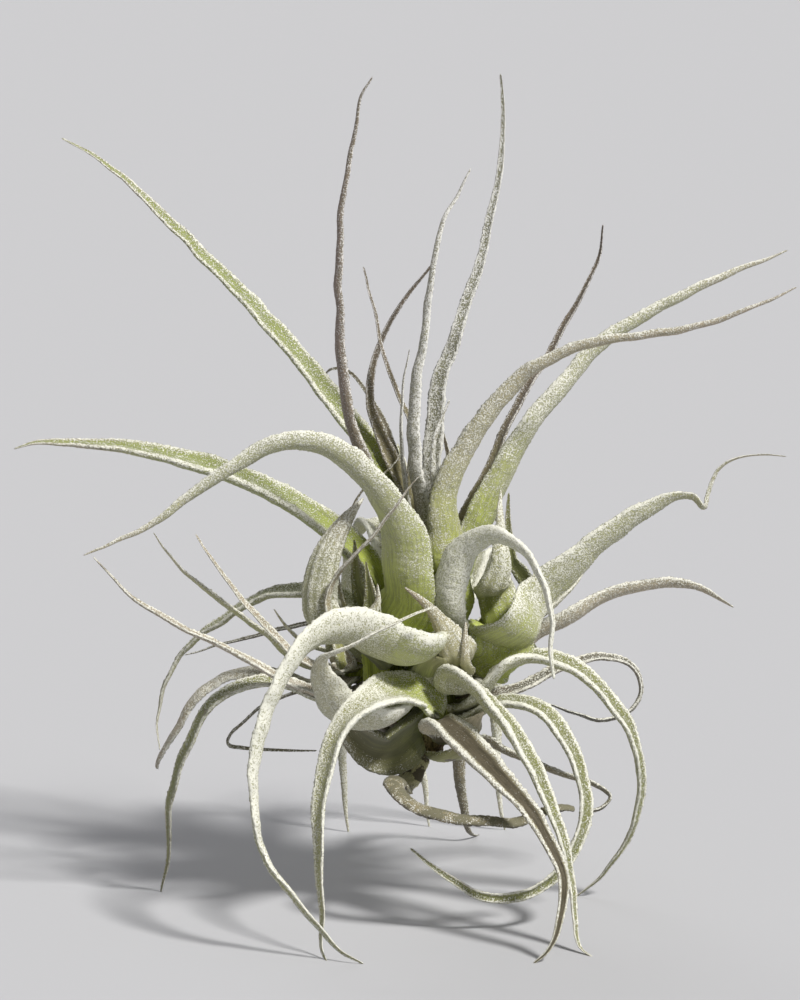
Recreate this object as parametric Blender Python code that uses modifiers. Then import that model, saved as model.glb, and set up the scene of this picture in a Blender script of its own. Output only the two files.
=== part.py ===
"""Air plant: a clump of silvery rosette leaves on one short stem, standing on its drooping leaves.

Lengths in the tables below are millimetres. +Z is up, +Y is the back of the plant, and the
origin is at the middle of its footprint, on the surface that its drooping leaves rest on.
"""

import math
from dataclasses import dataclass, field

import bmesh
import bpy
import numpy as np
from mathutils.bvhtree import BVHTree

MM = 0.001

# The stem: (radius, height) down its outer side, and the two side shoots that the pups grow on.
STEM_PROFILE = ((0.0, 63.0), (1.7, 61.0), (2.6, 54.0), (3.2, 44.0), (3.8, 34.0), (3.2, 27.5), (0.0, 25.5))
STEM_SIDES = 14
STEM_MERGE = 0.00001
SHOOT_RADIUS = 1.3
SHOOT_TAPER = 0.75
SHOOT_SIDES = 8
SHOOTS = (
    ((0.0, 0.0, 40.0), (-9.5, -4.0, 45.5)),
    ((0.0, 0.0, 42.0), (10.0, -3.0, 48.5)),
)

# A leaf's cross-section is a gutter: thick along its midrib and thin at its two margins. It is
# shallow at the base and folds up by FOLDED_BY of the leaf's length. Its eight corners are given
# as (place between the margins, side: -1 outside, 1 in the channel, 0 on the margin).
SECTION = ((-1, 0), (-0.5, -1), (0, -1), (0.5, -1), (1, 0), (0.5, 1), (0, 1), (-0.5, 1))
MIDRIB_THICKNESS = 1.7
THICKNESS_TO_WIDTH = 0.36
MARGIN_THINNING = 0.72
BASE_FOLD = math.radians(40)
BLADE_FOLD = math.radians(68)
FOLDED_BY = 0.3
CENTRE_DROP = 0.18
TIP_WIDTH = 0.45
BLUNT_LENGTH = 0.7

# Rings along a leaf: one for each RING_SPACING of length and one for each RING_BEND of bend.
RING_SPACING = 11.0
RING_BEND = math.radians(24)
FEWEST_RINGS = 6
ROUTE_STEPS = 24

# Neighbours give way to each other in rounds of one NUDGE until GAP is open between them all. A
# push spreads over GIVE of a leaf's length, and fades to SEAT_HOLD of itself at the leaf's seat.
# Leaves whose directions have a cross product over CROSSING part at right angles to both.
GAP = 0.36
NUDGE = 0.22
ROUNDS = 160
GIVE = 4.5
SEAT_HOLD = 0.12
FREE_LENGTH = 9.0
CROSSING = 0.45
STEM_GAP = 1.1
TINY = 1e-9

# The share of a resting leaf that is bent to meet the surface, and how often that is repeated.
BEDDED_SHARE = 0.45
BEDDING_PASSES = 6

# kind: base colour, roughness
KINDS = {
    "silver": ((0.60, 0.66, 0.56), 0.85),
    "green": ((0.42, 0.50, 0.24), 0.75),
    "bronze": ((0.33, 0.27, 0.23), 0.80),
    "tan": ((0.55, 0.50, 0.38), 0.85),
    "dry": ((0.20, 0.16, 0.11), 0.90),
}
STEM_COLOUR = (0.26, 0.20, 0.12)
STEM_ROUGHNESS = 0.9


@dataclass
class Leaf:
    """One leaf. widths are its widths at equal steps from the base, before the tip.

    seat is where its base sits on the stem: degrees round from +X, and height. Leaves of the
    side shoots have none, and their route starts at their base. blunt is the width of its tip,
    and facing the way its channel opens at the base, in degrees round from +X, if it isn't
    towards the stem. twist is how many degrees the leaf turns about its own length on its way
    to the tip.
    """

    name: str
    kind: str
    seat: tuple
    widths: tuple
    route: list
    rests: bool = False
    blunt: float = TIP_WIDTH
    facing: float = None
    twist: float = 0.0
    points: np.ndarray = field(default=None, repr=False)


LEAVES = [
    # The crown: upright leaves and the long ones that sweep up and out.
    Leaf("leaf_high_left", "silver", (150, 57), (3.6, 4.8, 3.7, 2.2),
         [(-4, 4, 71), (-10.5, 8, 82), (-16.5, 11, 89), (-26, 15, 100), (-37, 20, 110.5),
          (-49.5, 25, 122), (-57.5, 28, 128.5), (-64.5, 30, 132)]),
    Leaf("leaf_upright_left", "bronze", (205, 56), (3.4, 3.4, 2.0, 1.4),
         [(-5, -4, 69), (-9, -5, 78), (-12.5, -5, 86), (-14.5, -6, 98), (-15, -7, 113),
          (-14.5, -7, 126), (-12.5, -6, 137), (-11, -5, 145), (-9.5, -5, 148)]),
    Leaf("leaf_upright_slender", "silver", (175, 61), (2.6, 1.6, 1.1, 0.8),
         [(-2.5, 1.5, 75), (-3, 3, 87), (-5.5, 3.5, 92.5), (-8, 4, 100.5), (-9.5, 4.5, 108.5),
          (-11, 5, 113)]),
    Leaf("leaf_upright_bowed", "bronze", (118, 59), (3.0, 3.4, 1.6, 1.0),
         [(-3, 5, 72.5), (-6, 6, 79), (-9.5, 7, 87.5), (-9.5, 7, 93.5), (-8, 7, 99.5),
          (-2.5, 6, 109), (2, 5, 115)]),
    Leaf("leaf_upright_centre", "silver", (265, 60), (3.0, 3.2, 1.9, 1.2),
         [(-1.5, -2, 74), (-2, -2, 87), (-1.5, -2, 95.5), (0, -1.5, 103.5), (1, -1, 113),
          (3, 0, 122), (5.5, 1, 126.5), (7.5, 1.5, 131)]),
    Leaf("leaf_upright_short", "silver", (215, 62.5), (2.2, 1.8, 1.4, 1.0),
         [(-3.5, -1, 76), (-4.2, -1, 88), (-3, -0.5, 99.5)]),
    Leaf("leaf_upright_right", "silver", (60, 60), (3.0, 3.2, 1.9, 1.2),
         [(1, 3, 73), (1.5, 3.5, 86), (3, 4, 95.5), (5.5, 4.5, 102), (10, 6, 116.5),
          (12.5, 7, 128), (13.5, 8, 137.5), (13, 8, 146.5)]),
    Leaf("leaf_tip_right", "silver", (335, 62), (2.2, 1.7, 1.2, 0.8),
         [(1.5, -3, 74), (1.5, -3.5, 84), (4, -3.5, 91)]),
    Leaf("leaf_tip_pink", "tan", (85, 60), (2.4, 1.8, 1.4, 0.9),
         [(4.5, 6.5, 72.5), (4, 6.5, 79.5), (2.5, 6.5, 85.5)]),
    Leaf("leaf_sweep_right", "silver", (322, 51), (4.6, 8.0, 4.6, 3.4, 2.0, 1.5),
         [(3, -4.5, 66), (3.5, -5, 76), (7, -6, 84), (13.5, -7, 93), (18.5, -8, 98),
          (27, -9, 102), (37, -10, 104), (48, -11, 106), (59, -12, 110.5), (63.5, -12, 112.5)]),
    Leaf("leaf_high_right", "silver", (15, 54), (4.4, 7.6, 5.6, 4.2, 3.2, 2.2),
         [(8, 1, 67), (13.5, 2, 78), (17.5, 3, 85), (24, 5, 92.5), (30.5, 7, 99.5),
          (40, 9, 105), (49.5, 11, 109.5), (59, 13, 113), (63.5, 14, 114.5)]),
    Leaf("leaf_back_right_slender", "bronze", (62, 56), (2.6, 2.4, 1.7, 1.3),
         [(8, 8, 70.5), (11.5, 12, 76.5), (14.5, 14, 83.5), (19, 16, 91.5), (23, 18, 97.5),
          (27, 19, 105), (30.5, 20, 112), (31.5, 20, 118)]),
    Leaf("leaf_level_left", "green", (165, 46), (4.6, 6.2, 5.2, 4.4, 2.8),
         [(-8, 4, 58), (-16, 6, 66), (-25.5, 8, 72), (-37, 10, 76.5), (-49.5, 11, 79.5),
          (-61, 12, 80.5), (-69, 12, 80.5), (-72.5, 12, 79.5)]),
    Leaf("leaf_arching_left", "silver", (238, 47), (5.4, 10.2, 6.6, 4.6, 3.2, 1.6),
         [(-3, -7, 60.5), (-3.5, -8, 67), (-7, -9, 75), (-13, -10, 82), (-19, -11, 85.5),
          (-25.5, -12, 85.5), (-33.5, -13, 81.5), (-41.5, -14, 76), (-49.5, -15, 70.5),
          (-59, -16, 66.5)]),
    Leaf("leaf_back_thread", "dry", (100, 56), (2.4, 1.6, 1.2, 0.7),
         [(-3.5, 9, 72), (-7, 12, 83.5), (-11, 15, 90), (-14, 17, 92.5), (-17, 18, 92.5),
          (-18.5, 19, 90)]),
    # The left side shoot and its young leaves.
    Leaf("pup_left_blade", "silver", None, (4.5, 7.2, 6.6, 4.2),
         [(-12, -5.5, 46), (-17, -6.5, 51), (-18.5, -6.5, 58), (-16, -6, 67), (-11, -5, 74)], facing=60),
    Leaf("pup_left_slender", "silver", None, (1.6, 1.5, 1.3, 1.0),
         [(-15, -9.5, 47), (-17, -9.5, 57.5), (-15, -10.5, 62), (-10, -13, 68), (-6.5, -14.5, 73),
          (-1.5, -15.5, 80)], facing=-30),
    Leaf("pup_left_dry_strip", "dry", None, (1.6, 1.4, 1.2, 0.8),
         [(-12.5, -1, 50), (-15.5, 0, 62), (-13, 0.5, 70.5), (-10.5, 0, 75), (-7, -1, 78),
          (-4.5, -1, 81)]),
    Leaf("pup_left_bud_front", "green", None, (3.4, 4.4, 3.0, 1.4),
         [(-9, -7, 47), (-9.5, -7.5, 55), (-10.5, -7, 63)], facing=250),
    Leaf("pup_left_bud_right", "silver", None, (3.0, 3.6, 2.6, 1.3),
         [(-6.5, -8.5, 46.5), (-6, -9.5, 53), (-8, -9.5, 59.5)]),
    Leaf("pup_left_bud_back", "green", None, (3.4, 4.6, 3.6, 1.6),
         [(-11, -1.5, 47), (-11.5, -2.5, 55), (-12.5, -2.5, 66)], facing=250),
    # The right side shoot and its young leaves.
    Leaf("pup_right_blade", "silver", None, (5.0, 7.4, 4.6, 1.8),
         [(11.5, -4.5, 50), (12.5, -6, 56), (13, -7, 63), (13, -6.5, 70), (13, -5.5, 75.5)], facing=90),
    Leaf("pup_right_bud", "green", None, (3.0, 3.2, 2.2, 1.2),
         [(14, -1, 51), (14.5, -1.5, 60), (14.5, -1, 67.5), (14.5, -1, 74)], facing=250),
    # The right flank.
    Leaf("leaf_curl_front_right", "silver", (300, 45), (4.4, 7.2, 6.0, 3.6, 2.2),
         [(4, -8, 58), (6, -10, 65), (10.5, -13, 69.5), (15, -16, 69), (19, -19, 65.5),
          (21.5, -21, 58.5), (22, -22, 50.5), (22, -22, 46)], blunt=1.0, twist=-40),
    Leaf("leaf_right_crooked_tip", "silver", (328, 43), (8.6, 11.0, 7.6, 5.4, 4.2, 1.2, 0.8),
         [(10.5, -6, 50.5), (17.5, -5, 56.5), (25.5, -5, 63), (33.5, -5, 69.5), (41.5, -5, 74),
          (46.5, -5, 74.5), (48.5, -5, 72.5), (49, -5, 74.5), (50.5, -5, 79), (53.5, -5, 81),
          (59, -5, 82), (62.5, -5, 81.5)]),
    Leaf("leaf_right_low", "tan", (12, 39), (3.8, 3.8, 3.0, 2.2),
         [(11, 1, 45), (21, 2, 49.5), (25.5, 2, 51.5), (30.5, 3, 54.5), (38.5, 4, 56.5),
          (45, 4, 57), (50.5, 4, 55), (54, 4, 52.5)]),
    Leaf("leaf_right_behind", "silver", (32, 42), (4.0, 5.2, 4.6, 3.0),
         [(11, 5, 46), (16, 6.5, 48.5), (21, 8, 51.5), (25.5, 9, 55), (28.5, 10, 58)]),
    Leaf("leaf_right_arch_outer", "green", (340, 37), (5.0, 4.2, 2.7, 1.7),
         [(11, -6, 45), (16, -7, 46.5), (21, -7.5, 46.5), (27, -8, 44), (32.5, -8, 38.5),
          (36.5, -7, 31.5), (38, -5, 23), (36.5, -2, 14), (32.5, 1, 6.5), (27, 3, 0.8)], rests=True,
         twist=-45),
    Leaf("leaf_right_loop", "bronze", (358, 34), (3.2, 2.6, 1.9, 1.3),
         [(11, 1.5, 36), (16, 2.5, 38), (21, 4, 40.5), (27, 6, 42.5), (33.5, 8, 42.5),
          (37.5, 9, 40), (38.5, 9, 35.5), (36, 8, 32.5), (31, 6, 31.5), (25.5, 4, 33.5),
          (21.5, 3, 35.5)]),
    Leaf("leaf_right_arch_inner", "green", (320, 34), (4.0, 3.8, 2.6, 1.7, 1.3),
         [(9, -7, 37.5), (14.5, -9, 39), (19, -11, 38.5), (23, -13, 35.5), (26, -14.5, 29.5),
          (28, -16, 22), (25, -18, 12.5), (18, -20, 7), (10.5, -21, 6.5), (4.5, -22, 10),
          (-0.5, -22, 13.5), (-2.5, -22, 15.5)]),
    Leaf("leaf_right_dry", "dry", (305, 29), (3.4, 2.8, 2.0, 1.5),
         [(9.5, -8, 33), (13.5, -9, 30.5), (21, -9.5, 27), (29.5, -10, 24), (32.5, -11, 22),
          (30.5, -12, 20), (27, -14, 19.5)], blunt=1.0),
    # The front: leaves that arch over and rest on the surface.
    Leaf("leaf_front_right_channelled", "green", (292, 39), (5.6, 5.6, 3.2, 1.9),
         [(4, -9, 46), (7, -14, 45), (11, -18, 41), (16, -22, 35.5), (20, -26, 28),
          (24, -29, 18), (25.5, -31, 8), (26.5, -33, 2), (28.5, -35.5, 0.8)], rests=True, twist=-55),
    Leaf("leaf_front_dark_channel", "green", (274, 33), (5.2, 5.8, 3.2, 1.9),
         [(0, -10, 38.5), (2.5, -15, 37.5), (8.5, -22, 33), (12.5, -27, 30), (18, -32, 24.5),
          (21.5, -35, 19.5), (23.5, -37, 14.5), (23, -38.5, 9), (21, -39, 3), (18.5, -39.5, 0.8)],
         rests=True, twist=-70),
    Leaf("leaf_front_dry_hook", "dry", (250, 29), (3.8, 3.8, 3.2, 2.8),
         [(-4.5, -9, 30.5), (-6, -15, 28), (-4.5, -21, 24.5), (0.5, -24.5, 22.5), (8, -26, 21.5),
          (16, -25, 21), (25.5, -21, 22.5)], blunt=2.2),
    Leaf("leaf_front_left_arch", "silver", (236, 40), (10.5, 12.6, 6.6, 3.8, 2.0),
         [(-3, -10, 48.5), (-7, -14, 52), (-13, -19, 54.5), (-18, -23, 55), (-22.5, -27, 52),
          (-26.5, -30, 45.5), (-29, -32, 38), (-30, -34, 30), (-29.5, -35, 24.5),
          (-28, -36, 18.5), (-24, -37, 13), (-19.5, -38, 8), (-15, -39, 3), (-11, -40, 0.8)],
         rests=True),
    Leaf("leaf_left_bent_tip", "silver", (218, 33), (7.4, 10.4, 6.8, 1.7, 1.0),
         [(-7, -11, 36), (-13, -16, 38.5), (-16.5, -20, 43.5), (-18, -24, 48.5),
          (-17.5, -27, 51), (-13.5, -28.5, 53), (-6.5, -27, 56.5), (1, -24, 59)]),
    Leaf("leaf_front_left_low", "silver", (250, 36), (6.2, 7.2, 4.4, 2.8, 1.5),
         [(-2, -11, 40.5), (-6.5, -17, 43), (-13, -24, 41), (-17, -29, 33.5), (-18.5, -32, 25.5),
          (-18.5, -34, 18), (-18, -35.5, 9), (-18, -36, 2.5), (-17, -38, 0.8)], rests=True),
    Leaf("bract_dry_centre", "dry", (285, 43), (3.0, 4.2, 3.2, 1.6),
         [(4.5, -11.5, 50), (1, -13.5, 56), (-3.5, -14, 60)]),
    Leaf("bud_tip_centre", "silver", (298, 42), (2.4, 2.2, 1.8, 1.2),
         [(6.5, -11.5, 49), (7, -12.5, 54)]),
    # The left flank.
    Leaf("leaf_left_tan", "tan", (205, 36), (3.6, 2.8, 2.1, 1.6),
         [(-9, -7.5, 38), (-16, -9, 39.5), (-22.5, -10, 42), (-30.5, -11, 46.5),
          (-38.5, -12, 51), (-46.5, -12, 55), (-53, -12, 60), (-57.5, -12, 65)]),
    Leaf("leaf_left_green", "green", (188, 39), (3.6, 2.8, 2.1, 1.6),
         [(-10, -3, 41), (-22.5, -4, 45), (-27, -4, 49), (-33.5, -4, 54), (-40, -4, 59),
          (-45, -4, 64), (-47.5, -4, 67.5)]),
    Leaf("leaf_left_slender", "tan", (196, 42), (3.5, 1.8, 1.3, 1.0),
         [(-11, -6, 42.5), (-22.5, -7.5, 46.5), (-26.5, -7.5, 50.5), (-31, -7.5, 55.5),
          (-35, -7.5, 60.5), (-40, -7.5, 68)]),
    Leaf("leaf_left_short", "silver", (178, 43), (3.5, 2.2, 1.6, 1.2),
         [(-12, 0, 44), (-22.5, 0, 48), (-26.5, 0, 53)]),
    Leaf("leaf_back_left_arch", "green", (158, 42), (4.2, 4.4, 2.9, 1.8),
         [(-10, 6, 51), (-17.5, 8, 54.5), (-22.5, 10, 54.5), (-29, 12, 53), (-34.5, 13, 49.5),
          (-39, 14, 46), (-43, 15, 42.5), (-46.5, 15, 36), (-48, 15, 29.5), (-47.5, 15, 24)]),
    Leaf("leaf_back_left_dry", "dry", (170, 40), (3.0, 1.8, 1.4, 1.1),
         [(-10, 5, 47.5), (-18.5, 8, 49), (-26.5, 10, 47), (-33.5, 11, 45), (-42.5, 10, 42.5)]),
    Leaf("leaf_left_blunt", "tan", (190, 35), (3.6, 2.6, 2.3, 2.1),
         [(-12, -2, 37.5), (-21, -2, 40), (-29, -2, 42.5), (-35, -1, 41), (-40, 0, 37.5),
          (-43, 1, 32.5), (-45.5, 1, 27.5), (-47.5, 2, 24)], blunt=1.6),
    Leaf("leaf_left_banded", "green", (202, 31), (3.6, 2.6, 2.0, 1.6),
         [(-12, -5, 36), (-22.5, -6, 40.5), (-29, -7, 42), (-36, -6.5, 39), (-40.5, -5, 33),
          (-43.5, -3, 25), (-45.5, 0, 18), (-45.5, 3, 10.5), (-47, 6, 0.8)], rests=True),
    Leaf("leaf_left_dry_v", "dry", (178, 32), (3.0, 1.5, 1.2, 1.0),
         [(-9, 3, 36), (-17.5, 4, 38), (-28, 5, 35), (-33, 5, 31), (-35, 5, 27.5),
          (-30.5, 5, 26.5), (-19.5, 4, 26.5)]),
    # The back: leaves that arch over and rest on the surface, and shorter ones above them.
    Leaf("leaf_back_arch_left", "silver", (118, 42), (4.2, 6.4, 3.6, 2.0),
         [(-4, 9, 51), (-7, 17, 58), (-10, 26, 59), (-13, 35, 50), (-14.5, 42, 32),
          (-15, 45, 12), (-14, 47, 0.8)], rests=True),
    Leaf("leaf_back_arch_right", "green", (62, 41), (4.2, 6.0, 3.4, 2.0),
         [(5, 10, 50), (8, 18, 57), (10, 28, 57), (12, 37, 46), (13, 43, 28),
          (13.5, 46, 10), (15, 48.5, 0.8)], rests=True),
    Leaf("leaf_back_arch_centre", "silver", (94, 35), (4.2, 5.8, 3.2, 1.8),
         [(-0.5, 11, 41), (-1.5, 21, 46), (-2, 32, 44), (-2, 41, 33), (-1, 47, 17),
          (1, 51, 0.8)], rests=True),
    Leaf("leaf_back_low", "dry", (75, 29), (3.8, 3.8, 2.6, 1.8),
         [(3, 11, 31), (5, 21, 32), (6, 30, 25), (6.5, 36, 13), (8, 40, 3),
          (10, 45, 0.8)], rests=True),
    Leaf("leaf_back_upper_centre", "silver", (92, 51), (4.0, 6.0, 4.0, 2.2),
         [(-1, 8, 65), (-3, 13, 73), (-5, 18, 79)]),
    Leaf("leaf_back_upper_right", "silver", (45, 50), (4.0, 6.6, 4.0, 2.2),
         [(5, 8, 60), (8, 15, 66), (10, 23, 69), (12, 31, 67), (13, 37, 61)]),
    Leaf("leaf_back_upper_left", "silver", (135, 49), (4.0, 6.6, 4.2, 2.2),
         [(-4, 8, 57), (-7, 15, 62), (-10, 24, 64), (-13, 32, 59), (-15, 39, 50)]),
    # Old sheaths that clasp the foot of the stem.
    Leaf("sheath_front_left", "green", (232, 31), (7.0, 10.5, 9.0, 5.0),
         [(-6, -9.5, 33), (-10, -12.5, 36), (-13, -14, 40)]),
    Leaf("sheath_front_right", "tan", (312, 31), (5.0, 5.4, 4.6, 3.0),
         [(7, -8.5, 33.5), (10, -11, 37)]),
    Leaf("sheath_back_left", "dry", (148, 30), (5.0, 5.6, 4.8, 3.0),
         [(-8, 5, 33), (-11.5, 7.5, 37)]),
    Leaf("sheath_back_right", "dry", (30, 31), (5.0, 5.6, 4.8, 3.0),
         [(8, 5, 34), (11.5, 7, 38)]),
]


def clear_scene():
    for obj in list(bpy.data.objects):
        bpy.data.objects.remove(obj, do_unlink=True)


def stem_radius(height):
    """The stem's radius at a height, from its profile."""
    heights = [h for _, h in reversed(STEM_PROFILE)]
    radii = [r for r, _ in reversed(STEM_PROFILE)]
    return float(np.interp(height, heights, radii))


def smooth_route(points):
    """A centripetal Catmull-Rom curve through the points, with its ends continued straight."""
    points = np.asarray(points, float)
    padded = np.vstack([2 * points[0] - points[1], points, 2 * points[-1] - points[-2]])
    steps = np.sqrt(np.linalg.norm(np.diff(padded, axis=0), axis=1))
    knots = np.concatenate([[0.0], np.cumsum(steps)])
    curve = []
    for i in range(1, len(padded) - 2):
        t0, t1, t2, t3 = knots[i - 1 : i + 3]
        p0, p1, p2, p3 = padded[i - 1 : i + 3]
        for t in np.linspace(t1, t2, ROUTE_STEPS, endpoint=False):
            a1 = (p0 * (t1 - t) + p1 * (t - t0)) / (t1 - t0)
            a2 = (p1 * (t2 - t) + p2 * (t - t1)) / (t2 - t1)
            a3 = (p2 * (t3 - t) + p3 * (t - t2)) / (t3 - t2)
            b1 = (a1 * (t2 - t) + a2 * (t - t0)) / (t2 - t0)
            b2 = (a2 * (t3 - t) + a3 * (t - t1)) / (t3 - t1)
            curve.append((b1 * (t2 - t) + b2 * (t - t1)) / (t2 - t1))
    curve.append(points[-1])
    return np.array(curve)


def lengths_along(points):
    return np.concatenate([[0.0], np.cumsum(np.linalg.norm(np.diff(points, axis=0), axis=1))])


def stations(leaf):
    """The middles of a leaf's rings, closer together where it bends."""
    route = list(leaf.route)
    if leaf.seat:
        turn, height = math.radians(leaf.seat[0]), leaf.seat[1]
        reach = stem_radius(height) + STEM_GAP
        route.insert(0, (reach * math.cos(turn), reach * math.sin(turn), height))
    curve = smooth_route(route)
    steps = np.diff(curve, axis=0)
    length = np.linalg.norm(steps, axis=1)
    heading = steps / length[:, None]
    cosines = np.clip((heading[1:] * heading[:-1]).sum(axis=1), -1, 1)
    bend = np.concatenate([[0.0], np.arccos(cosines)])
    share = np.concatenate([[0.0], np.cumsum(length / RING_SPACING + bend / RING_BEND)])
    count = max(FEWEST_RINGS, math.ceil(share[-1]))
    wanted = np.linspace(0, share[-1], count + 1)
    if leaf.blunt > TIP_WIDTH:
        along = lengths_along(curve)
        wanted[-2] = np.interp(along[-1] - BLUNT_LENGTH, along, share)
    return np.stack([np.interp(wanted, share, curve[:, axis]) for axis in range(3)], axis=1)


def frames(leaf):
    """Heading, side and face directions at each ring. The face is the channel's open side.

    It starts towards the stem's axis, or as the leaf's facing says, and is carried along the
    leaf with no more turning than the leaf's own twist.
    """
    points = leaf.points
    heading = np.gradient(points, axis=0)
    heading /= np.linalg.norm(heading, axis=1)[:, None]
    current = -points[2] * (1, 1, 0) + (0, 0, 1.0)
    if leaf.facing is not None:
        facing = math.radians(leaf.facing)
        current = np.array([math.cos(facing), math.sin(facing), 0])
    face = np.empty_like(points)
    for i, along in enumerate(heading):
        current = current - along * np.dot(current, along)
        current /= np.linalg.norm(current)
        face[i] = current
    side = np.cross(heading, face)
    along = lengths_along(points)
    roll = math.radians(leaf.twist) * along[:, None] / along[-1]
    return heading, side * np.cos(roll) - face * np.sin(roll), face * np.cos(roll) + side * np.sin(roll)


def widths_at(leaf, fraction):
    values = list(leaf.widths) + [leaf.blunt]
    return np.interp(fraction, np.linspace(0, 1, len(values)), values)


def gutter(width, fold, grow):
    """The eight corners of a leaf's section, as (sideways, towards its face)."""
    half = width / 2 + grow
    radius = half / math.sin(fold)
    thickness = min(MIDRIB_THICKNESS, THICKNESS_TO_WIDTH * width) + 2 * grow
    corners = []
    for place, layer in SECTION:
        angle = fold * place
        offset = layer * 0.5 * thickness * (1 - MARGIN_THINNING * place * place)
        corners.append((
            (radius - offset) * math.sin(angle),
            radius * (1 - math.cos(angle)) + offset * math.cos(angle),
        ))
    return corners


def leaf_skin(leaf, grow=0.0):
    """Corners, faces and each face's ring. The last corner is the leaf's point."""
    heading, side, face = frames(leaf)
    along = lengths_along(leaf.points)
    fraction = along / along[-1]
    widths = widths_at(leaf, fraction)
    rings = len(leaf.points) - 1
    corners = []
    for i in range(rings):
        fold = BASE_FOLD + (BLADE_FOLD - BASE_FOLD) * min(1.0, fraction[i] / FOLDED_BY)
        centre = leaf.points[i] - face[i] * widths[i] * CENTRE_DROP
        for sideways, up in gutter(widths[i], fold, grow):
            corners.append(centre + side[i] * sideways + face[i] * up)
    corners.append(leaf.points[-1] + heading[-1] * grow)
    faces, ring_of = [], []
    size = len(SECTION)
    for i in range(rings - 1):
        for k in range(size):
            a, b = i * size + k, i * size + (k + 1) % size
            faces.append((a, b, b + size, a + size))
            ring_of.append(i)
    for k in range(size):
        faces.append(((rings - 1) * size + k, (rings - 1) * size + (k + 1) % size, rings * size))
        ring_of.append(rings - 1)
    faces.append(tuple(reversed(range(size))))
    ring_of.append(0)
    return np.array(corners), faces, np.array(ring_of)


def part_direction(one, i, other, j):
    """The way that two touching leaves give way to each other, from other to one."""
    heading_one, _, face_one = one
    heading_other, _, face_other = other
    across = np.cross(heading_one[i], heading_other[j])
    if np.linalg.norm(across) > CROSSING:
        return across / np.linalg.norm(across)
    facing = face_one[i] + face_other[j] * np.sign(np.dot(face_one[i], face_other[j]) + TINY)
    return facing / np.linalg.norm(facing)


def give_way(leaf, pushes):
    """Moves a leaf by the pushes on its rings, spread smoothly along it."""
    along = lengths_along(leaf.points)
    spread = np.exp(-(((along[:, None] - along[None, :]) / GIVE) ** 2))
    hold = SEAT_HOLD + (1 - SEAT_HOLD) * np.clip(along / FREE_LENGTH, 0, 1)
    moves = (spread @ pushes) * hold[:, None]
    size = np.linalg.norm(moves, axis=1).max()
    if size > 0:
        leaf.points = leaf.points + moves * (NUDGE / size)


def make_room(leaves, stem):
    """Leaves that would touch press each other aside until there is a gap between every pair."""
    stem_tree = BVHTree.FromPolygons(stem[0].tolist(), stem[1])
    for _ in range(ROUNDS):
        skins = [leaf_skin(leaf, GAP / 2) for leaf in leaves]
        trees = [BVHTree.FromPolygons(corners.tolist(), faces) for corners, faces, _ in skins]
        lows = [corners.min(axis=0) for corners, _, _ in skins]
        highs = [corners.max(axis=0) for corners, _, _ in skins]
        axes = [frames(leaf) for leaf in leaves]
        pushes = [np.zeros_like(leaf.points) for leaf in leaves]
        touching = 0
        for i in range(len(leaves)):
            for ring, _ in trees[i].overlap(stem_tree):
                at = skins[i][2][ring]
                away = leaves[i].points[at] * (1, 1, 0)
                pushes[i][at] += away / max(np.linalg.norm(away), TINY)
                touching += 1
            for j in range(i + 1, len(leaves)):
                if (lows[i] > highs[j]).any() or (lows[j] > highs[i]).any():
                    continue
                for one, other in trees[i].overlap(trees[j]):
                    a, b = skins[i][2][one], skins[j][2][other]
                    way = part_direction(axes[i], a, axes[j], b)
                    if np.dot(way, leaves[i].points[a] - leaves[j].points[b]) < 0:
                        way = -way
                    pushes[i][a] += way
                    pushes[j][b] -= way
                    touching += 1
        if not touching:
            return
        for leaf, push in zip(leaves, pushes):
            give_way(leaf, push)


def bed_down(leaf):
    """Lowers or lifts the far end of a resting leaf until it just meets the surface."""
    along = lengths_along(leaf.points)
    share = np.clip((along / along[-1] - 1 + BEDDED_SHARE) / BEDDED_SHARE, 0, 1)
    share = share * share * (3 - 2 * share)
    for _ in range(BEDDING_PASSES):
        lowest = leaf_skin(leaf)[0][:, 2].min()
        leaf.points[:, 2] -= share * lowest


def make_material(name, colour, roughness):
    material = bpy.data.materials.new(name)
    material.use_nodes = True
    shader = material.node_tree.nodes["Principled BSDF"]
    shader.inputs["Base Color"].default_value = (*colour, 1)
    shader.inputs["Roughness"].default_value = roughness
    shader.inputs["Metallic"].default_value = 0.0
    return material


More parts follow.
